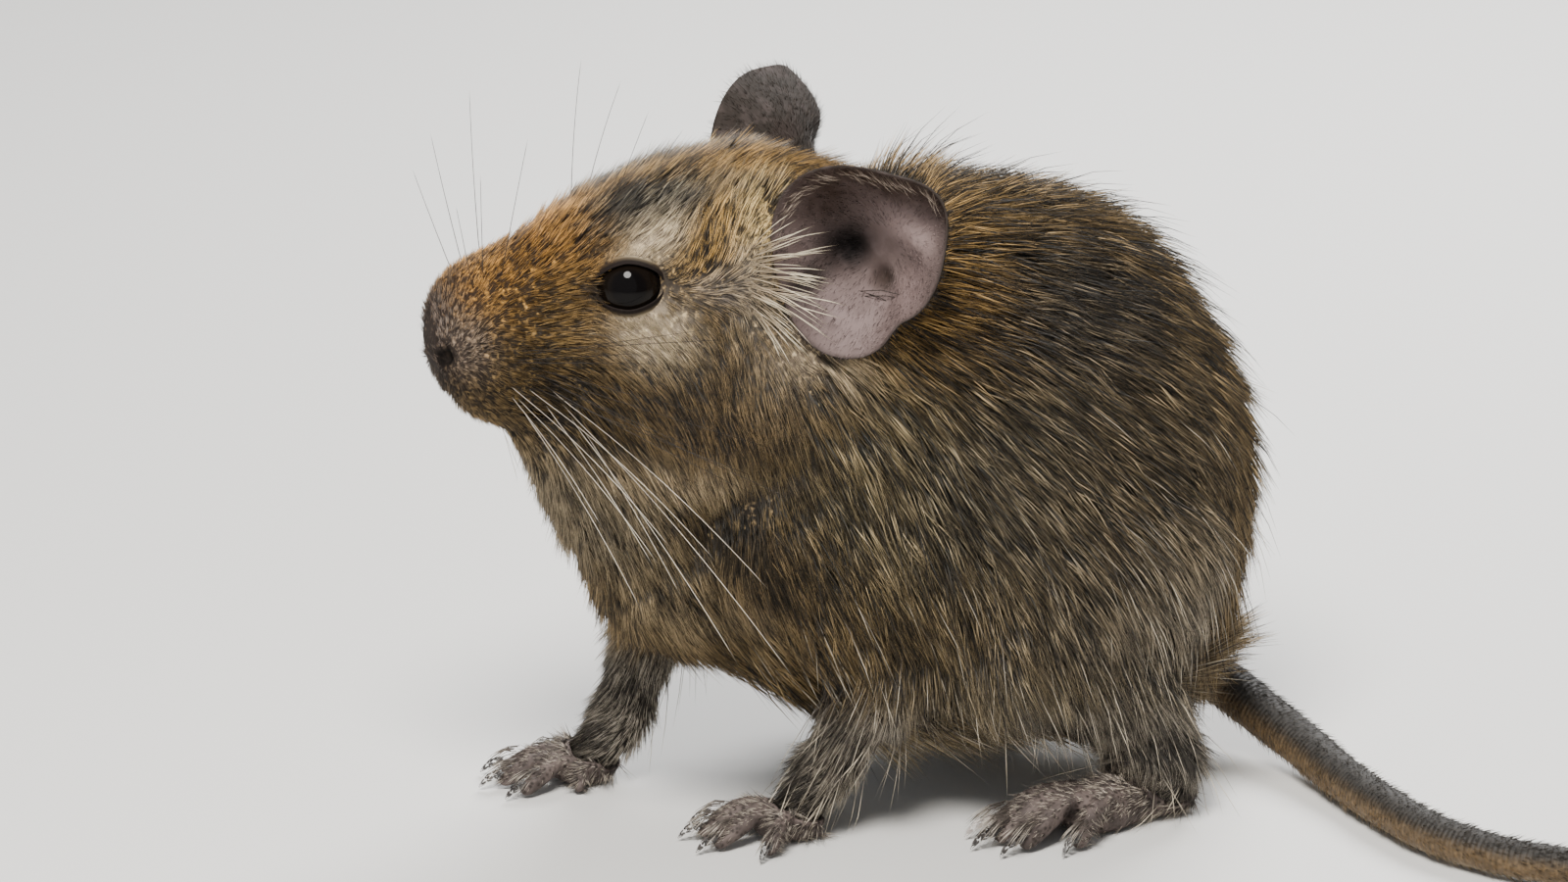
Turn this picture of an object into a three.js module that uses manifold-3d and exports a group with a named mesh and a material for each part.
// A life-size degu, a small South American rodent, crouching on all fours with its head raised and its
// tail laid on the floor at its left side. It faces -Y, its left side is +X and +Z is up. All sizes are
// in millimetres. The solids give the outline of the coat, and thin cuts part the body into its nodes.
import * as THREE from "three";
import { mergeVertices } from "three/addons/utils/BufferGeometryUtils.js";
import Module from "manifold-3d";

const wasm = await Module();
wasm.setup();

// Driving sizes of the animal
const BACK_HEIGHT = 77;
const BODY_WIDTH = 50;
const RUMP_Y = 52.5;
const CHEST_Y = -34;
const NOSE_Y = -53.4;
const HEAD_TOP = 84;
const HEAD_WIDTH = 33;
const EAR_LENGTH = 23.6;
const EAR_WIDTH = 21.5;
const EYE_RADIUS = 4.2;
const LID_THICKNESS = 0.75;
const TAIL_RADIUS = 3.1;
const BRUSH_LENGTH = 30;

// Working allowances
const GAP = 0.3;
const RAY_STEP = 0.75;
const HALVINGS = 16;
const BIG = 200;

const Z = new THREE.Vector3(0, 0, 1);
const FORWARD = new THREE.Vector3(0, -1, 0);
const at = (x, y, z) => new THREE.Vector3(x, y, z);
const mirrored = (point, side) => at(point.x * side, point.y, point.z);
const between = (a, b, share) => a + (b - a) * share;
const degrees = THREE.MathUtils.degToRad;

// Fields are negative inside a form and positive outside it, roughly in millimetres.
function ellipsoid(centre, radii, pitch = 0) {
  const back = new THREE.Quaternion().setFromAxisAngle(at(1, 0, 0), -degrees(pitch));
  const q = at(0, 0, 0);
  return (p) => {
    q.copy(p).sub(centre).applyQuaternion(back);
    const scaled = Math.hypot(q.x / radii.x, q.y / radii.y, q.z / radii.z);
    const slope = Math.hypot(q.x / radii.x ** 2, q.y / radii.y ** 2, q.z / radii.z ** 2);
    return slope < 1e-9 ? -Math.min(radii.x, radii.y, radii.z) : (scaled * (scaled - 1)) / slope;
  };
}

function roundCone(a, b, radiusA, radiusB) {
  const along = b.clone().sub(a);
  const q = at(0, 0, 0);
  return (p) => {
    q.copy(p).sub(a);
    const share = THREE.MathUtils.clamp(q.dot(along) / along.lengthSq(), 0, 1);
    return q.addScaledVector(along, -share).length() - between(radiusA, radiusB, share);
  };
}

function blend(softness, fields) {
  return (p) =>
    fields.reduce((least, field) => {
      const value = field(p);
      const meet = Math.max(softness - Math.abs(least - value), 0) / softness;
      return Math.min(least, value) - (meet * meet * softness) / 4;
    }, BIG);
}

// A form with its underside cut away softly below a height.
function raised(field, height, softness) {
  const turnedOut = blend(softness, [(p) => -field(p), (p) => p.z - height]);
  return (p) => -turnedOut(p);
}

const behind = (plane) => (p) => plane.distanceToPoint(p);
const within = (field, bound, spare) => (p) => Math.max(field(p), bound(p) - spare);

// A closed mesh as a solid, with its faces turned outward.
function solid(positions, triangles) {
  const geometry = new THREE.BufferGeometry();
  geometry.setAttribute("position", new THREE.Float32BufferAttribute(positions, 3));
  geometry.setIndex(triangles);
  return solidOf(geometry);
}

function solidOf(geometry) {
  geometry.deleteAttribute("normal");
  geometry.deleteAttribute("uv");
  const merged = mergeVertices(geometry, 1e-4);
  const points = merged.attributes.position.array;
  const corners = merged.index.array;
  const [a, b, c] = [at(0, 0, 0), at(0, 0, 0), at(0, 0, 0)];
  let volume = 0;
  for (let i = 0; i < corners.length; i += 3) {
    a.fromArray(points, corners[i] * 3);
    b.fromArray(points, corners[i + 1] * 3);
    c.fromArray(points, corners[i + 2] * 3);
    volume += a.dot(b.cross(c));
  }
  const triVerts = new Uint32Array(corners);
  if (volume < 0) {
    for (let i = 0; i < triVerts.length; i += 3) {
      [triVerts[i + 1], triVerts[i + 2]] = [triVerts[i + 2], triVerts[i + 1]];
    }
  }
  return new wasm.Manifold(new wasm.Mesh({ numProp: 3, vertProperties: points, triVerts }));
}

// The largest closed surface of a solid, which drops scraps and fills sealed hollows.
function largest(made) {
  return made.decompose().reduce((most, one) => (one.volume() > most.volume() ? one : most));
}

const join = (...solids) => solids.flat().reduce((all, one) => all.add(one));
const cut = (made, ...tools) => largest(tools.flat().reduce((left, tool) => left.subtract(tool), made));

// Rings of points, each with the same count, skinned into a closed solid with a point at each end.
function loft(rings, first, last) {
  const sides = rings[0].length;
  const points = [first, ...rings.flat(), last];
  const ring = (r, s) => 1 + r * sides + (s % sides);
  const triangles = [];
  for (let s = 0; s < sides; s++) {
    triangles.push(0, ring(0, s + 1), ring(0, s));
    triangles.push(points.length - 1, ring(rings.length - 1, s), ring(rings.length - 1, s + 1));
    for (let r = 0; r < rings.length - 1; r++) {
      triangles.push(ring(r, s), ring(r, s + 1), ring(r + 1, s + 1));
      triangles.push(ring(r, s), ring(r + 1, s + 1), ring(r + 1, s));
    }
  }
  return solid(points.flatMap((p) => p.toArray()), triangles);
}

function frameAt(curve, share, lead) {
  const tangent = curve.getTangentAt(share).normalize();
  const across = lead.clone().cross(tangent).normalize();
  return { centre: curve.getPointAt(share), tangent, across, up: tangent.clone().cross(across) };
}

// How far a ray runs inside a field before it comes out.
function depthAlong(field, origin, ray, grow, reach) {
  const value = (distance) => field(origin.clone().addScaledVector(ray, distance)) - grow;
  let [inside, outside] = [0, RAY_STEP];
  while (outside < reach && value(outside) <= 0) {
    inside = outside;
    outside += RAY_STEP;
  }
  for (let i = 0; i < HALVINGS; i++) {
    const middle = (inside + outside) / 2;
    if (value(middle) <= 0) inside = middle;
    else outside = middle;
  }
  return inside;
}

// A skin drawn round a field: rays leave a spine in rings, and fan out over a dome at each round end.
function wrap({ field, spine, rings, sides, domes = [0, 0], lead = Z, grow = 0, reach = 90 }) {
  const curve = new THREE.CatmullRomCurve3(spine);
  const cast = (origin, ray) => origin.clone().addScaledVector(ray, depthAlong(field, origin, ray, grow, reach));
  const ring = (frame, tilt) =>
    Array.from({ length: sides }, (_, s) => {
      const turn = (s / sides) * Math.PI * 2;
      const ray = frame.across.clone().multiplyScalar(Math.cos(turn));
      ray.addScaledVector(frame.up, Math.sin(turn)).multiplyScalar(Math.cos(tilt));
      return cast(frame.centre, ray.addScaledVector(frame.tangent, Math.sin(tilt)).normalize());
    });
  const made = [];
  const [first, last] = [frameAt(curve, 0, lead), frameAt(curve, 1, lead)];
  for (let i = domes[0] - 1; i > 0; i--) made.push(ring(first, (-i / domes[0]) * (Math.PI / 2)));
  for (let r = 0; r <= rings; r++) made.push(ring(frameAt(curve, r / rings, lead), 0));
  for (let i = 1; i < domes[1]; i++) made.push(ring(last, (i / domes[1]) * (Math.PI / 2)));
  const poleBack = domes[0] ? cast(first.centre, first.tangent.clone().negate()) : first.centre;
  const poleFront = domes[1] ? cast(last.centre, last.tangent) : last.centre;
  return loft(made, poleBack, poleFront);
}

// A round or flattened tube along a curve, with a dome of its own radius at each round end.
function tube({ path, radius, rings, sides, flat = 1, domes = [0, 0], lead = Z, grow = 0 }) {
  const curve = Array.isArray(path) ? new THREE.CatmullRomCurve3(path) : path;
  const ring = (frame, size, shift) =>
    Array.from({ length: sides }, (_, s) => {
      const turn = ((s + 0.5) / sides) * Math.PI * 2;
      const point = frame.centre.clone().addScaledVector(frame.tangent, shift);
      point.addScaledVector(frame.across, size * Math.cos(turn));
      return point.addScaledVector(frame.up, size * flat * Math.sin(turn));
    });
  const sizeAt = (share) => radius(share) + grow;
  const made = [];
  const [first, last] = [frameAt(curve, 0, lead), frameAt(curve, 1, lead)];
  for (let i = domes[0] - 1; i > 0; i--) {
    const tilt = (i / domes[0]) * (Math.PI / 2);
    made.push(ring(first, sizeAt(0) * Math.cos(tilt), -sizeAt(0) * Math.sin(tilt)));
  }
  for (let r = 0; r <= rings; r++) made.push(ring(frameAt(curve, r / rings, lead), sizeAt(r / rings), 0));
  for (let i = 1; i < domes[1]; i++) {
    const tilt = (i / domes[1]) * (Math.PI / 2);
    made.push(ring(last, sizeAt(1) * Math.cos(tilt), sizeAt(1) * Math.sin(tilt)));
  }
  const start = first.centre.clone().addScaledVector(first.tangent, domes[0] ? -sizeAt(0) : 0);
  const stop = last.centre.clone().addScaledVector(last.tangent, domes[1] ? sizeAt(1) : 0);
  return loft(made, start, stop);
}

// A solid half space in front of a plane, to cut with.
function beyond(plane) {
  const block = new THREE.BoxGeometry(BIG, BIG, BIG).translate(0, 0, BIG / 2);
  const turn = new THREE.Quaternion().setFromUnitVectors(Z, plane.normal);
  block.applyQuaternion(turn).translate(...plane.coplanarPoint(at(0, 0, 0)).toArray());
  return solidOf(block);
}

const FLOOR = beyond(new THREE.Plane(at(0, 0, -1), 0));

function ball(centre, radii, turn = new THREE.Quaternion(), detail = [16, 10]) {
  const shape = new THREE.SphereGeometry(1, ...detail).scale(radii.x, radii.y, radii.z);
  return solidOf(shape.applyQuaternion(turn).translate(centre.x, centre.y, centre.z));
}

// The trunk's coat: body forms and head forms, blended into one field
const HALF_WIDTH = BODY_WIDTH / 2;
const bodyForms = [
  raised(ellipsoid(at(0, RUMP_Y - 29.5, 36.5), at(HALF_WIDTH, 30.5, BACK_HEIGHT - 37.4)), 9.5, 6),
  ellipsoid(at(0, 8, 34), at(HALF_WIDTH + 0.5, 27, 25.5)),
  ellipsoid(at(0, 6, 53.5), at(HALF_WIDTH - 3.5, 26, BACK_HEIGHT - 51)),
  ellipsoid(at(0, CHEST_Y + 18, 36), at(17, 18, 18)),
  ellipsoid(at(0, -8, 56), at(18, 22, 21.5)),
  ellipsoid(at(0, CHEST_Y + 7, 45.5), at(10, 12.5, 11)),
];
const noseBall = at(0, NOSE_Y + 8, 64.2);
const headForms = [
  ellipsoid(at(0, -14, HEAD_TOP - 14.5), at(14.5, 18, 14.5)),
  ellipsoid(at(0, -24, 72), at(11.5, 16, 10)),
  roundCone(at(0, -24, 67), noseBall, 11, 7.4),
  roundCone(at(0, -22, 75.5), at(0, -41, 70), 6.2, 5.6),
  ellipsoid(at(0, -46.5, 66.5), at(6.2, 5.2, 5.8)),
  ...[-1, 1].flatMap((side) => [
    ellipsoid(at(side * (HEAD_WIDTH / 2 - 9), -19, 57.5), at(9, 15, 13.5)),
    ellipsoid(at(side * 4, -43, 60), at(5, 8, 6)),
    ellipsoid(at(side * 7.2, -31, 62), at(6, 10, 8)),
  ]),
  ellipsoid(at(0, -40.5, 57), at(5.2, 7.5, 5)),
  ellipsoid(at(0, -27, 53), at(10.5, 13, 10.5)),
];

// Eyes, set in the sides of the head
const eyeCentre = at(8.5, -30.2, 70.6);
const eyeAxis = at(0.92, -0.32, 0.22).normalize();
const eyeBulges = [-1, 1].map((side) => {
  const radius = EYE_RADIUS + LID_THICKNESS;
  return ellipsoid(mirrored(eyeCentre, side), at(radius, radius, radius));
});
const headField = blend(1.5, [blend(4.5, headForms), ...eyeBulges]);
const trunkField = blend(9, [blend(7, bodyForms), headField]);

// The slanted planes that part head, neck and torso, each facing the head
const neckAxis = at(0, -0.69, 0.724).normalize();
const headPlane = new THREE.Plane().setFromNormalAndCoplanarPoint(neckAxis, at(0, 9, 81));
const torsoPlane = new THREE.Plane().setFromNormalAndCoplanarPoint(neckAxis, at(0, 20, 79));
const shifted = (plane, distance) => new THREE.Plane(plane.normal.clone(), plane.constant + distance);
const turned = (plane) => new THREE.Plane(plane.normal.clone().negate(), -plane.constant);
const SPARE = 4;

function headWrap(grow) {
  return wrap({
    field: within(trunkField, behind(turned(headPlane)), SPARE),
    spine: [at(0, -12, 64), at(0, -28, 64.5), at(0, NOSE_Y + 9, 64)],
    rings: 13,
    sides: 34,
    domes: [3, 6],
    grow,
  });
}

function torsoWrap(grow) {
  const shape = wrap({
    field: within(trunkField, behind(torsoPlane), SPARE),
    spine: [at(0, RUMP_Y - 22, 40), at(0, 8, 40), at(0, -12, 37)],
    rings: 7,
    sides: 30,
    domes: [6, 4],
    grow,
  });
  return cut(shape, beyond(shifted(torsoPlane, GAP / 2)));
}

function neckWrap(grow) {
  const middle = at(0, -4, 57);
  const [low, high] = [torsoPlane, headPlane].map((plane) => plane.projectPoint(middle, at(0, 0, 0)));
  low.addScaledVector(neckAxis, GAP / 2);
  high.addScaledVector(neckAxis, -GAP / 2);
  return wrap({
    field: trunkField,
    spine: [low, high],
    rings: 3,
    sides: 34,
    grow,
  });
}

// The almond of the eye's opening, as points on a ball round the eye
function lidLine(side, ballRadius, count) {
  const axis = mirrored(eyeAxis, side);
  const along = Z.clone().cross(axis).normalize();
  const rise = axis.clone().cross(along).normalize();
  const centre = mirrored(eyeCentre, side);
  const tilt = degrees(side * 4);
  return Array.from({ length: count }, (_, i) => {
    const turn = (i / count) * Math.PI * 2;
    const corner = Math.abs(Math.cos(turn)) ** 1.6 * Math.sign(Math.cos(turn));
    const flat = between(Math.cos(turn), corner, 0.5) * 4.25;
    const high = Math.sin(turn) * (Math.sin(turn) > 0 ? 2.9 : 2.55);
    const a = flat * Math.cos(tilt) - high * Math.sin(tilt);
    const b = flat * Math.sin(tilt) + high * Math.cos(tilt);
    const lift = Math.sqrt(Math.max(ballRadius ** 2 - a * a - b * b, 0.01));
    return centre.clone().addScaledVector(along, a).addScaledVector(rise, b).addScaledVector(axis, lift);
  });
}

function eyeOpening(side) {
  const outline = lidLine(side, EYE_RADIUS + LID_THICKNESS, 18);
  const axis = mirrored(eyeAxis, side);
  const push = (distance) => outline.map((p) => p.clone().addScaledVector(axis, distance));
  const [inner, outer] = [push(-2.6), push(4)];
  const middle = (ring) => ring.reduce((sum, p) => sum.add(p), at(0, 0, 0)).divideScalar(ring.length);
  return loft([inner, outer], middle(inner), middle(outer));
}

// A ridge along a closed line of points.
function ridge(points, radius, sides) {
  const count = points.length;
  const centre = points.reduce((sum, p) => sum.add(p), at(0, 0, 0)).divideScalar(count);
  const vertices = [];
  const triangles = [];
  points.forEach((point, i) => {
    const tangent = points[(i + 1) % count].clone().sub(points[(i + count - 1) % count]).normalize();
    const out = point.clone().sub(centre);
    out.addScaledVector(tangent, -out.dot(tangent)).normalize();
    const side = tangent.clone().cross(out);
    for (let s = 0; s < sides; s++) {
      const turn = (s / sides) * Math.PI * 2;
      const corner = point.clone().addScaledVector(out, radius * Math.cos(turn));
      vertices.push(...corner.addScaledVector(side, radius * Math.sin(turn)).toArray());
      const [here, next] = [i * sides, ((i + 1) % count) * sides];
      const after = (s + 1) % sides;
      triangles.push(here + s, next + s, next + after, here + s, next + after, here + after);
    }
  });
  return solid(vertices, triangles);
}

function nostril(side) {
  const path = [at(side * 1.7, NOSE_Y - 1.5, 62.6), at(side * 3.1, NOSE_Y + 0.6, 61.8), at(side * 4.3, NOSE_Y + 1.6, 62.9)];
  return tube({ path, radius: (share) => between(0.85, 0.4, share), rings: 5, sides: 6, domes: [2, 2] });
}

// The mouth's line runs round under the snout, and a groove splits the upper lip up to the nose.
function mouthGrooves() {
  const line = [
    at(-6.6, -39.5, 55.4),
    at(-5, -44.5, 56),
    at(-2.4, -48.8, 56.4),
    at(0, -50, 56.9),
    at(2.4, -48.8, 56.4),
    at(5, -44.5, 56),
    at(6.6, -39.5, 55.4),
  ];
  const split = [at(0, NOSE_Y + 0.2, 60.9), at(0, NOSE_Y + 0.5, 59), at(0, NOSE_Y + 3.2, 56.8)];
  return [
    tube({ path: line, radius: () => 0.55, rings: 12, sides: 5, domes: [2, 2] }),
    tube({ path: split, radius: () => 0.4, rings: 4, sides: 5, domes: [2, 2], lead: FORWARD }),
  ];
}

// Each ear is a thin cup: a rounded outline round a centre, deepest near the ear's opening.
// The far ear is turned a little further out, and held further back, than the near one.
const earPlaces = {
  left: { centre: at(19.8, -5.8, 74.8), normal: at(0.72, -0.68, 0.108) },
  right: { centre: at(-19.8, -4.5, 75.5), normal: at(-0.765, -0.635, 0.108) },
};
const earLong = at(0.25, 0.404, 0.88).normalize();
const EAR_DEPTH = 8.5;
const EAR_THICKNESS = 0.9;

function ear(name) {
  const side = SIDES[name];
  const centre = earPlaces[name].centre;
  const long = mirrored(earLong, side);
  const normal = earPlaces[name].normal.clone();
  normal.addScaledVector(long, -normal.dot(long)).normalize();
  const wide = long.clone().cross(normal).multiplyScalar(side).normalize();
  const [spokes, steps] = [26, 6];
  const outline = (turn) => {
    const [c, s] = [Math.cos(turn), Math.sin(turn)];
    const oval = 1 / Math.hypot(c / (EAR_WIDTH / 2), s / (EAR_LENGTH / 2));
    const notch = 1 - 0.1 * Math.exp(-(((turn - degrees(335)) / degrees(14)) ** 2));
    return oval * notch * (1 + 0.05 * Math.cos(3 * (turn - degrees(50))));
  };
  const inner = (share, turn) => {
    const size = outline(turn) * share;
    const cup = -EAR_DEPTH * (1 - share ** 2.2);
    const curl = 1.3 * share ** 6 * Math.max(Math.cos(turn - degrees(115)), 0);
    const fold = 1.5 * Math.exp(-(((share - 0.52) / 0.16) ** 2)) * Math.max(Math.cos(turn - degrees(20)), 0) ** 2;
    return centre
      .clone()
      .addScaledVector(wide, Math.cos(turn) * size)
      .addScaledVector(long, Math.sin(turn) * size)
      .addScaledVector(normal, cup + curl + fold);
  };
  const outer = (share, turn) => {
    const step = 1e-3;
    const acrossStep = inner(share + step, turn).sub(inner(share - step, turn));
    const roundStep = inner(share, turn + step).sub(inner(share, turn - step));
    const out = acrossStep.cross(roundStep).normalize();
    if (out.dot(normal) > 0) out.negate();
    return inner(share, turn).addScaledVector(out, EAR_THICKNESS);
  };
  const ring = (face, share) =>
    Array.from({ length: spokes }, (_, s) => face(share, (s / spokes) * Math.PI * 2));
  const made = [];
  for (let i = 1; i <= steps; i++) made.push(ring(inner, (i / steps) ** 0.9));
  for (let i = steps; i >= 1; i--) made.push(ring(outer, Math.min((i / steps) ** 0.9, 0.985)));
  const bottom = centre.clone().addScaledVector(normal, -EAR_DEPTH);
  return loft(made, bottom, bottom.clone().addScaledVector(normal, -EAR_THICKNESS));
}

// The four legs, as they stand
const foreLegs = {
  left: {
    shoulder: at(13.5, -15, 38),
    elbow: at(17, -0.5, 21.5),
    wrist: at(13.2, -8, 7),
    palm: at(12.8, -12, 3),
    heading: -4,
  },
  right: {
    shoulder: at(-13.5, -17, 38),
    elbow: at(-15.5, -17.8, 22),
    wrist: at(-13.2, -24.6, 7.2),
    palm: at(-14.4, -28.8, 3),
    heading: 12,
  },
};
const hindLegs = {
  left: { hip: at(17, 33, 36), knee: at(20.5, 12, 23), hock: at(20.5, 33.5, 9), heel: at(20.2, 35.5, 3.4), heading: 12 },
  right: { hip: at(-17, 33, 36), knee: at(-20.5, 10.5, 23), hock: at(-20.5, 31.5, 9), heel: at(-20.2, 33.5, 3.4), heading: 9 },
};

const upperArm = (leg, grow) =>
  wrap({
    field: blend(3, [roundCone(leg.shoulder, leg.elbow, 9.2, 6.4)]),
    spine: [leg.shoulder, leg.elbow],
    rings: 4,
    sides: 14,
    domes: [3, 4],
    lead: FORWARD,
    grow,
  });

const forearm = (leg, grow) =>
  wrap({
    field: blend(2, [roundCone(leg.elbow, leg.wrist, 5.9, 3.5), roundCone(leg.wrist, leg.palm, 3.4, 2.6)]),
    spine: [leg.elbow, leg.wrist],
    rings: 4,
    sides: 12,
    domes: [2, 3],
    lead: FORWARD,
    grow,
  });

const thigh = (leg, grow) => {
  const middle = leg.hip.clone().lerp(leg.knee, 0.5);
  return wrap({
    field: blend(6, [
      ellipsoid(at(middle.x, middle.y + 1, middle.z + 1), at(9.6, 19, 16.5), -32),
      roundCone(leg.hip, leg.knee, 10, 8.2),
    ]),
    spine: [leg.hip, leg.knee],
    rings: 4,
    sides: 18,
    domes: [4, 4],
    grow,
  });
};

const shank = (leg, grow) => {
  const top = at(leg.knee.x, between(leg.knee.y, leg.hip.y, 0.75), 23);
  return wrap({
    field: blend(3, [roundCone(top, leg.hock, 7.6, 4.6), roundCone(leg.hock, leg.heel, 4.6, 3.5), roundCone(leg.knee, leg.hock, 6, 4)]),
    spine: [top, leg.hock],
    rings: 4,
    sides: 12,
    domes: [2, 3],
    lead: FORWARD,
    grow,
  });
};

// Toes: each has a root on the foot, a heading away from straight ahead, a length and a thickness
const FORE_TOES = [
  { name: "2", across: -2.5, ahead: 1.8, turn: -26, length: 6.2, radius: 1.3, claw: 3, arch: 1.7 },
  { name: "3", across: -0.8, ahead: 2.6, turn: -6, length: 7, radius: 1.35, claw: 3.2, arch: 1.7 },
  { name: "4", across: 1.1, ahead: 2.3, turn: 14, length: 6.8, radius: 1.35, claw: 3.2, arch: 1.7 },
  { name: "5", across: 2.6, ahead: 0.4, turn: 50, length: 5.2, radius: 1.25, claw: 2.8, arch: 1.7 },
];
const HIND_TOES = [
  { name: "1", across: -3, ahead: 9.5, turn: -20, length: 4.4, radius: 1.3, claw: 3, arch: 1.7 },
  { name: "2", across: -2.4, ahead: 14.5, turn: -9, length: 8.4, radius: 1.6, claw: 4.2, arch: 2.6 },
  { name: "3", across: -0.3, ahead: 15.2, turn: -1, length: 9, radius: 1.65, claw: 4.4, arch: 2.6 },
  { name: "4", across: 1.8, ahead: 14.6, turn: 8, length: 8.4, radius: 1.6, claw: 4.2, arch: 2.6 },
  { name: "5", across: 3.3, ahead: 11.5, turn: 24, length: 6.4, radius: 1.45, claw: 3.6, arch: 2.6 },
];

// Directions of a foot on the floor: ahead of it, and across it to the animal's outer side
function footFrame(origin, heading, side) {
  const turn = degrees(heading) * side;
  const ahead = FORWARD.clone().applyAxisAngle(Z, turn);
  const across = at(side, 0, 0).applyAxisAngle(Z, turn);
  const place = (out, forth, height) =>
    at(origin.x, origin.y, height).addScaledVector(across, out).addScaledVector(ahead, forth);
  return { ahead, place, side };
}

function toePath(foot, toe) {
  const root = foot.place(toe.across, toe.ahead, 0);
  const lie = foot.ahead.clone().applyAxisAngle(Z, degrees(toe.turn) * foot.side);
  const point = (share, height) => root.clone().addScaledVector(lie, toe.length * share).setZ(height);
  const knuckle = toe.radius + toe.arch;
  return {
    lie,
    points: [
      point(-0.25, knuckle),
      point(0.3, knuckle + 0.5),
      point(0.75, toe.radius + toe.arch * 0.45),
      point(1, toe.radius - 0.15),
    ],
  };
}

function toeSolid(foot, toe, grow = 0) {
  const { points } = toePath(foot, toe);
  const radius = (share) => toe.radius * (1 + 0.12 * Math.cos(share * Math.PI * 3));
  return tube({ path: points, radius, rings: 5, sides: 6, domes: [0, 2], grow });
}

function claw(foot, toe) {
  const { points, lie } = toePath(foot, toe);
  const tip = points[3];
  const step = (forth, rise) => tip.clone().addScaledVector(lie, forth).add(at(0, 0, rise));
  const path = [
    step(-0.4, 0.35),
    step(toe.claw * 0.42, 0.75),
    step(toe.claw * 0.85, 0),
    step(toe.claw * 1.05, 0.25 - tip.z + 0.3),
  ];
  const radius = (share) => toe.radius * 0.62 * (1 - share) ** 0.7 + 0.16;
  const shape = tube({ path, radius, rings: 4, sides: 5, flat: 0.9, domes: [0, 1] });
  return cut(shape, toeSolid(foot, toe, GAP), FLOOR);
}

function foreFoot(leg, side) {
  const foot = footFrame(leg.palm, leg.heading, side);
  const palm = wrap({
    field: blend(2, [
      ellipsoid(foot.place(0, 0.2, 2.45), at(3.9, 4.4, 2.8)),
      roundCone(leg.wrist, foot.place(0, -1.2, 3.2), 3.1, 2.8),
      ellipsoid(foot.place(0.9, -2.6, 1.6), at(1.7, 1.9, 1.7)),
    ]),
    spine: [foot.place(0, -1.5, 3), foot.place(0, 1.2, 2.6)],
    rings: 2,
    sides: 12,
    domes: [3, 3],
  });
  const thumb = { across: -3, ahead: -0.4, turn: -55, length: 2.4, radius: 1, arch: 1.2 };
  return { foot, solids: [palm, ...[...FORE_TOES, thumb].map((toe) => toeSolid(foot, toe))] };
}

function hindFoot(leg, side) {
  const foot = footFrame(leg.heel, leg.heading, side);
  const sole = wrap({
    field: blend(2.5, [
      roundCone(foot.place(0, 0, 2.9), foot.place(0, 10, 2.8), 3.3, 3.3),
      ellipsoid(foot.place(0.1, 11.5, 2.5), at(4.7, 5, 3)),
      roundCone(leg.hock, foot.place(0, 0.5, 4), 4, 3.2),
    ]),
    spine: [foot.place(0, 0.5, 3), foot.place(0, 12.5, 2.8)],
    rings: 4,
    sides: 12,
    domes: [3, 3],
  });
  return { foot, solids: [sole, ...HIND_TOES.map((toe) => toeSolid(foot, toe))] };
}

// The tail leaves the rump low, comes down to the floor and lies in a bend to the left, then straight back.
const tailLine = new THREE.CatmullRomCurve3([
  at(0, RUMP_Y - 9, 12),
  at(1.5, RUMP_Y - 2.8, 8.8),
  at(7.2, RUMP_Y + 0.6, 6),
  at(16.7, RUMP_Y + 3, 4),
  at(25, RUMP_Y + 3.9, TAIL_RADIUS),
  at(35, RUMP_Y + 4.7, TAIL_RADIUS - 0.1),
  at(47, RUMP_Y + 7, TAIL_RADIUS - 0.2),
  at(57.5, RUMP_Y + 13.5, TAIL_RADIUS - 0.4),
  at(64.5, RUMP_Y + 24, TAIL_RADIUS - 0.5),
  at(68, RUMP_Y + 36, TAIL_RADIUS - 0.6),
  at(69.5, RUMP_Y + 48, TAIL_RADIUS - 0.7),
  at(69.5, RUMP_Y + 59, TAIL_RADIUS - 0.8),
]);
const TAIL_CUTS = [0, 0.3, 0.53, 0.76, 1];
const tailRadius = (share) => between(TAIL_RADIUS + 0.5, TAIL_RADIUS - 0.75, share ** 0.8);

class CurvePart extends THREE.Curve {
  constructor(whole, from, to) {
    super();
    Object.assign(this, { whole, from, to });
  }

  getPoint(share, target) {
    return this.whole.getPointAt(between(this.from, this.to, share), target);
  }
}

function tailLength(i) {
  const halfGap = GAP / 2 / tailLine.getLength();
  const from = TAIL_CUTS[i] + (i ? halfGap : 0);
  const to = TAIL_CUTS[i + 1] - halfGap;
  const path = new CurvePart(tailLine, from, to);
  return tube({ path, radius: (share) => tailRadius(between(from, to, share)), rings: 7, sides: 10 });
}

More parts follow.
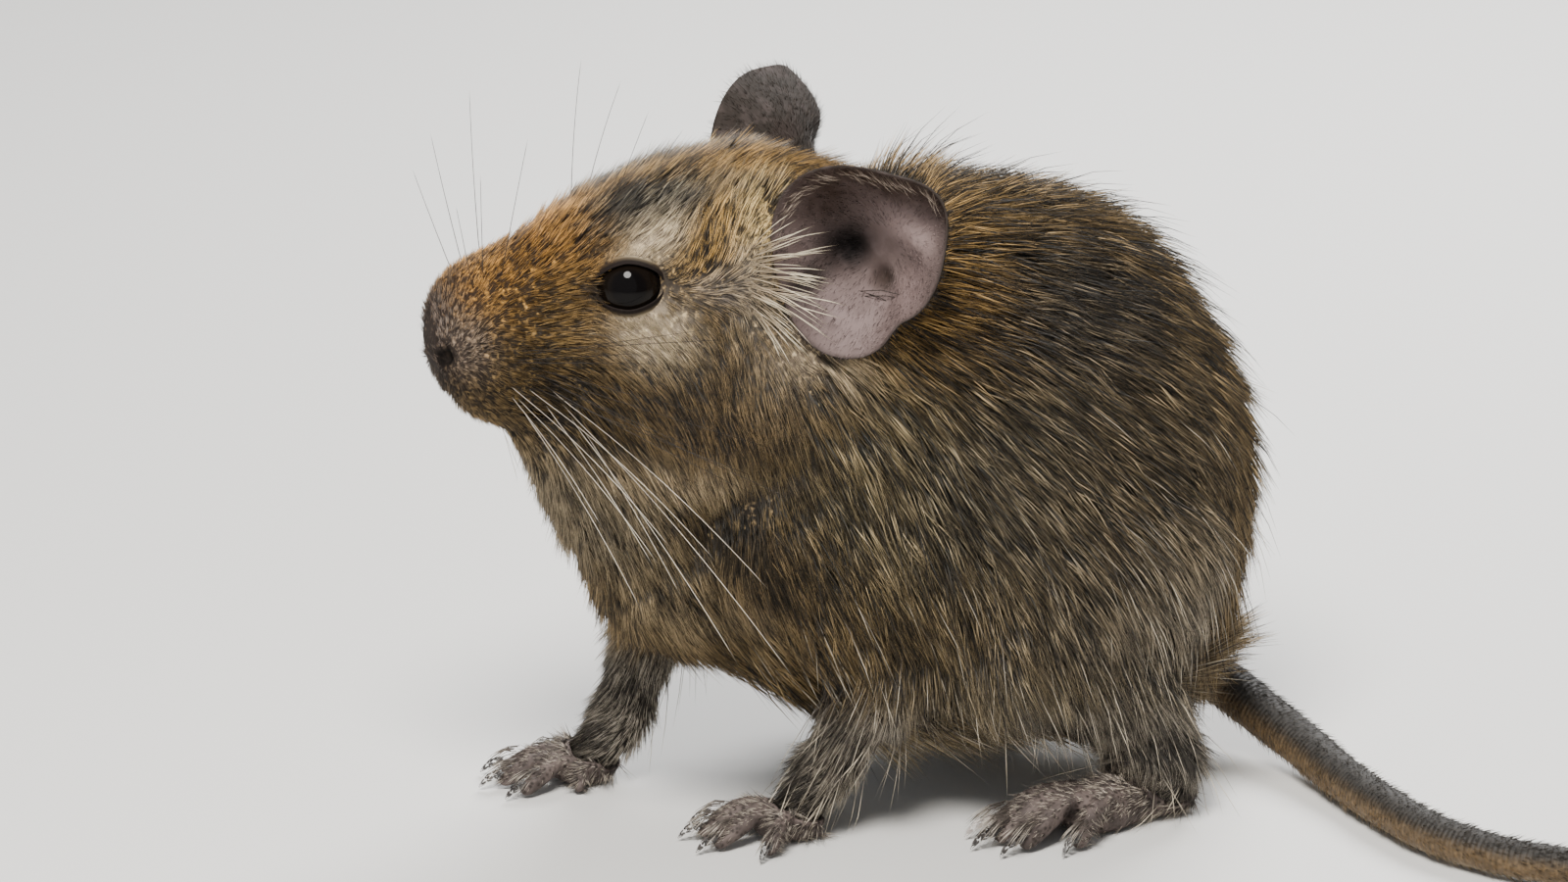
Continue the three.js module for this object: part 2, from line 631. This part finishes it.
// The brush at the tail's end: a thin core with flat, tapered locks that lie back along it.
function tailBrush() {
  const halfGap = GAP / 2 / tailLine.getLength();
  const from = TAIL_CUTS[3] + halfGap;
  const path = new CurvePart(tailLine, from, 1);
  const core = tube({
    path,
    radius: (share) => between(tailRadius(from), 0.7, share),
    rings: 6,
    sides: 8,
    domes: [0, 2],
  });
  const LOCKS = 18;
  const GOLDEN_TURN = Math.PI * (3 - Math.sqrt(5));
  const locks = Array.from({ length: LOCKS }, (_, i) => {
    const share = between(0.12, 0.97, i / (LOCKS - 1));
    const frame = frameAt(path, share, Z);
    const turn = i * GOLDEN_TURN;
    const out = frame.across.clone().multiplyScalar(Math.cos(turn)).addScaledVector(frame.up, Math.sin(turn));
    const length = between(9, 15, share) * (1 + 0.12 * Math.sin(i * 2.3));
    const core = between(tailRadius(from), 0.7, share);
    const step = (forth, lift) => {
      const point = frame.centre.clone().addScaledVector(frame.tangent, forth * length);
      point.addScaledVector(out, core * 0.3 + lift);
      return point.setZ(Math.max(point.z, 0.9));
    };
    return tube({
      path: [step(0, 0), step(0.4, 2.1), step(0.75, 2.9), step(1, 2.6)],
      radius: (along) => 1.5 * Math.sqrt(1 - along) * (0.7 + 0.6 * along) + 0.18,
      rings: 3,
      sides: 4,
      flat: 0.42,
      lead: out,
    });
  });
  return cut(join(core, locks), FLOOR);
}

// Every node's solid
const SIDES = { left: 1, right: -1 };
const nodes = new Map();
const arms = Object.fromEntries(Object.keys(SIDES).map((name) => [name, upperArm(foreLegs[name], 0)]));
const limbsGrown = Object.keys(SIDES).flatMap((name) => [
  upperArm(foreLegs[name], GAP),
  thigh(hindLegs[name], GAP),
  shank(hindLegs[name], GAP),
]);
const headCut = beyond(turned(shifted(headPlane, -GAP / 2)));
const head = Object.values(SIDES).reduce(
  (made, side) => {
    const rim = ridge(lidLine(side, EYE_RADIUS + LID_THICKNESS * 0.8, 20), 0.5, 4);
    const socket = EYE_RADIUS + GAP;
    const hole = ball(mirrored(eyeCentre, side), at(socket, socket, socket), undefined, [16, 10]);
    return cut(join(cut(made, eyeOpening(side)), rim), hole, nostril(side));
  },
  cut(headWrap(0), headCut),
);
nodes.set("head", { made: cut(head, mouthGrooves()), look: "coat" });
nodes.set("neck", { made: cut(neckWrap(0), limbsGrown), look: "coat" });
nodes.set("torso", { made: cut(torsoWrap(0), limbsGrown), look: "coat" });

const torsoGrown = torsoWrap(GAP);
const trunkGrown = [cut(headWrap(GAP), headCut), neckWrap(GAP)];
for (const [name, side] of Object.entries(SIDES)) {
  const eyeRound = new THREE.Quaternion().setFromUnitVectors(at(0, 1, 0), mirrored(eyeAxis, side));
  const eyeRadii = at(EYE_RADIUS, EYE_RADIUS, EYE_RADIUS);
  nodes.set(`eye_${name}`, { made: ball(mirrored(eyeCentre, side), eyeRadii, eyeRound, [16, 12]), look: "eye" });
  nodes.set(`ear_${name}`, { made: cut(ear(name), trunkGrown), look: "ear" });

  const fore = foreLegs[name];
  nodes.set(`upper_arm_${name}`, { made: arms[name], look: "coat" });
  nodes.set(`forearm_${name}`, { made: cut(forearm(fore, 0), upperArm(fore, GAP), torsoGrown), look: "leg" });
  const paw = foreFoot(fore, side);
  nodes.set(`forepaw_${name}`, { made: cut(join(paw.solids), forearm(fore, GAP), FLOOR), look: "foot" });
  for (const toe of FORE_TOES) {
    nodes.set(`claw_fore_${name}_${toe.name}`, { made: claw(paw.foot, toe), look: "claw" });
  }

  const hind = hindLegs[name];
  const armGrown = [upperArm(fore, GAP), forearm(fore, GAP)];
  nodes.set(`thigh_${name}`, { made: cut(thigh(hind, 0), armGrown), look: "coat" });
  nodes.set(`shank_${name}`, { made: cut(shank(hind, 0), thigh(hind, GAP), armGrown), look: "leg" });
  const sole = hindFoot(hind, side);
  nodes.set(`hindfoot_${name}`, { made: cut(join(sole.solids), shank(hind, GAP), FLOOR), look: "foot" });
  for (const toe of HIND_TOES) {
    nodes.set(`claw_hind_${name}_${toe.name}`, { made: claw(sole.foot, toe), look: "claw" });
  }
}

["tail_base", "tail_middle", "tail_end"].forEach((name, i) => {
  nodes.set(name, { made: cut(tailLength(i), torsoGrown, FLOOR), look: "tail" });
});
nodes.set("tail_brush", { made: tailBrush(), look: "brush" });

const looks = {
  coat: new THREE.MeshStandardMaterial({ color: 0x6b5537, roughness: 0.9 }),
  leg: new THREE.MeshStandardMaterial({ color: 0x6a6157, roughness: 0.9 }),
  foot: new THREE.MeshStandardMaterial({ color: 0x746a60, roughness: 0.85 }),
  claw: new THREE.MeshStandardMaterial({ color: 0x2c2825, roughness: 0.4 }),
  ear: new THREE.MeshStandardMaterial({ color: 0x6f5c56, roughness: 0.8 }),
  eye: new THREE.MeshStandardMaterial({ color: 0x0c0908, roughness: 0.08 }),
  tail: new THREE.MeshStandardMaterial({ color: 0x4a3c25, roughness: 0.9 }),
  brush: new THREE.MeshStandardMaterial({ color: 0x17140f, roughness: 0.85 }),
};

function meshOf(made, look) {
  const { numProp, vertProperties, triVerts } = made.getMesh();
  const positions = new Float32Array((vertProperties.length / numProp) * 3);
  for (let i = 0; i < positions.length / 3; i++) {
    positions.set(vertProperties.subarray(i * numProp, i * numProp + 3), i * 3);
  }
  const geometry = new THREE.BufferGeometry();
  geometry.setAttribute("position", new THREE.BufferAttribute(positions, 3));
  geometry.setIndex(new THREE.BufferAttribute(triVerts, 1));
  geometry.computeVertexNormals();
  return new THREE.Mesh(geometry, looks[look]);
}

const degu = new THREE.Group();
for (const [name, { made, look }] of nodes) {
  const mesh = meshOf(made, look);
  mesh.name = name;
  degu.add(mesh);
}

// The origin is the middle of the animal's footprint, on the floor.
const extent = new THREE.Box3().setFromObject(degu);
const footprint = extent.getCenter(at(0, 0, 0));
degu.position.set(-footprint.x, -footprint.y, 0);

export default degu;
